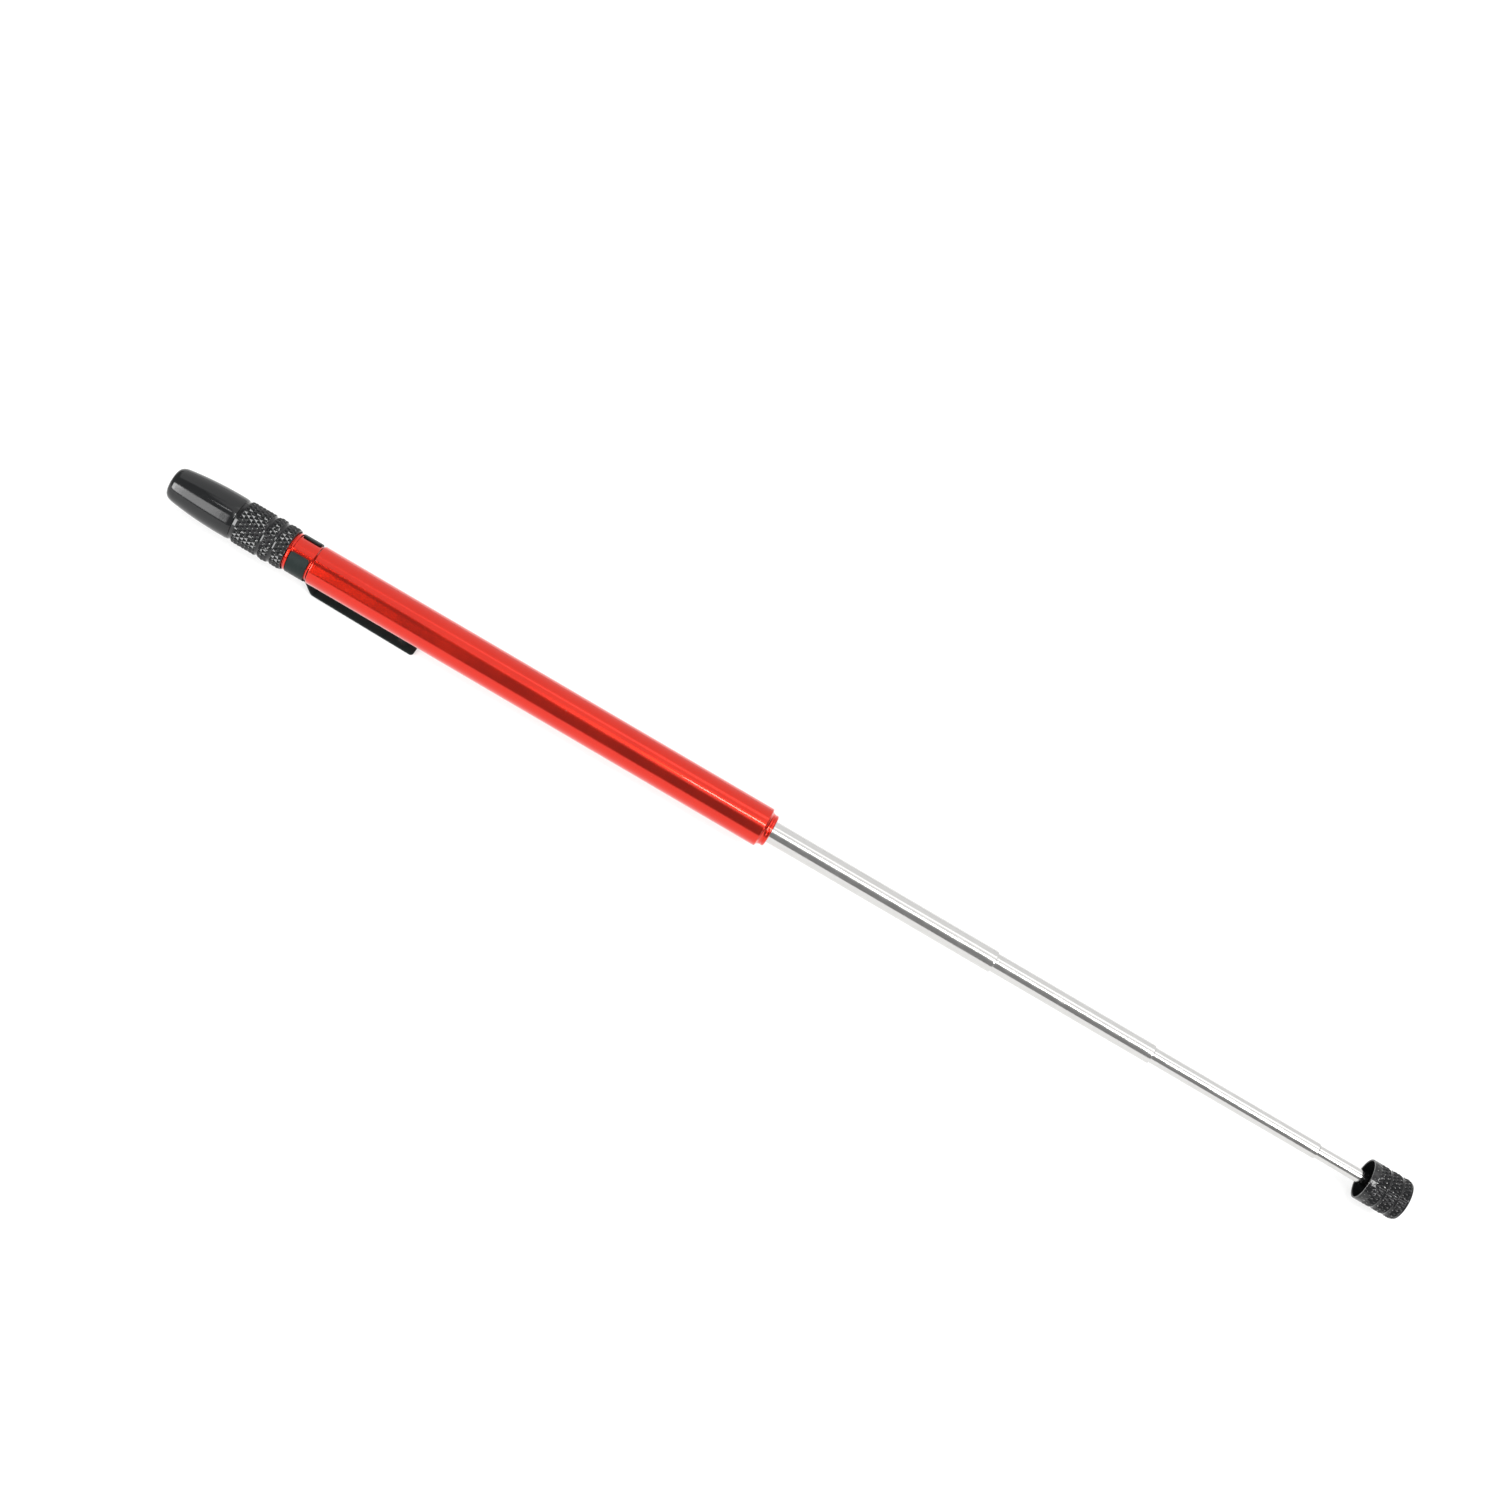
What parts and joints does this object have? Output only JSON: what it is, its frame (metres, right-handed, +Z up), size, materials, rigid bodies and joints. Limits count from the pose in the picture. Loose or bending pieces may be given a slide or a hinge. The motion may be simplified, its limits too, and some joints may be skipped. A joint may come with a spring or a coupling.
{
  "type": "telescoping magnetic pick-up tool",
  "caption": "Pen-size reaching tool: telescoping chromed tube with a knurled magnet cap, anodised barrel with pocket clip, and a twist-on torch head.",
  "frame": {"origin": "under the middle of the tool, at the height of the lowest edge of the clip", "axes": "+X along the tool from the torch to the magnet, +Z up, the pocket clip hangs straight down"},
  "size_m": [0.3146, 0.0104, 0.0131],
  "materials": {
    "black_anodised": "gloss",
    "clear_epoxy": "gloss",
    "spring_steel": "satin",
    "white_plastic": "satin",
    "turned_brass": "satin",
    "nickel_plate": "satin",
    "red_anodised": "gloss",
    "black_paint": "satin",
    "chrome_plate": "polished",
    "bronze_spring": "satin",
    "black_steel": "satin"
  },
  "bodies": {
    "barrel": {"barrel": "red_anodised", "nose_bush": "turned_brass", "battery_sleeve": "white_plastic", "cell_1": "nickel_plate", "cell_2": "nickel_plate", "cell_3": "nickel_plate", "battery_spring": "spring_steel", "bulkhead_plug": "turned_brass"},
    "lamp": {"led_lens": "clear_epoxy", "led_anode_lead": "spring_steel", "led_cathode_lead": "spring_steel", "led_holder": "white_plastic", "contact_button": "turned_brass"},
    "torch_head": {"torch_head": "black_anodised"},
    "clip": {"pocket_clip": "black_paint"},
    "section_1": {"tube_1": "chrome_plate", "tail_bush": "turned_brass", "friction_ring": "bronze_spring"},
    "section_2": {"tube_2": "chrome_plate", "slip_spring_2": "bronze_spring"},
    "section_3": {"tube_3": "chrome_plate", "slip_spring_3": "bronze_spring"},
    "slip_ring_4": {"slip_spring_4": "bronze_spring"},
    "magnet_end": {"tube_4": "chrome_plate", "cap_rivet": "turned_brass", "magnet_cap": "black_anodised", "magnet_backing_plate": "black_steel", "magnet": "nickel_plate"}
  },
  "joints": [
    {"name": "head_travel", "type": "slide", "parent": "barrel", "child": "lamp", "axis": [-1, 0, 0], "range_m": [0, 0.0015]},
    {"name": "head_twist", "type": "hinge", "parent": "lamp", "child": "torch_head", "pos_m": [-0.1423, 0, 0.00788], "axis": [-1, 0, 0], "range_deg": [0, 720]},
    {"name": "clip_swivel", "type": "hinge", "parent": "barrel", "child": "clip", "pos_m": [-0.1239, 0, 0.00788], "axis": [1, 0, 0], "continuous": true},
    {"name": "section_1_slide", "type": "slide", "parent": "barrel", "child": "section_1", "axis": [1, 0, 0], "range_m": [-0.0561, 0.0486]},
    {"name": "section_2_slide", "type": "slide", "parent": "section_1", "child": "section_2", "axis": [1, 0, 0], "range_m": [-0.0397, 0.0734]},
    {"name": "section_3_slide", "type": "slide", "parent": "section_2", "child": "section_3", "axis": [1, 0, 0], "range_m": [-0.0416, 0.0668]},
    {"name": "section_4_slide", "type": "slide", "parent": "section_3", "child": "slip_ring_4", "axis": [1, 0, 0], "range_m": [-0.0158, 0.0879]},
    {"name": "magnet_spin", "type": "hinge", "parent": "slip_ring_4", "child": "magnet_end", "pos_m": [0.1521, 0, 0.00788], "axis": [1, 0, 0], "continuous": true}
  ],
  "couplings": [
    {"joint": "head_twist", "follows": "head_travel", "rad_per_m": 8377.6}
  ]
}
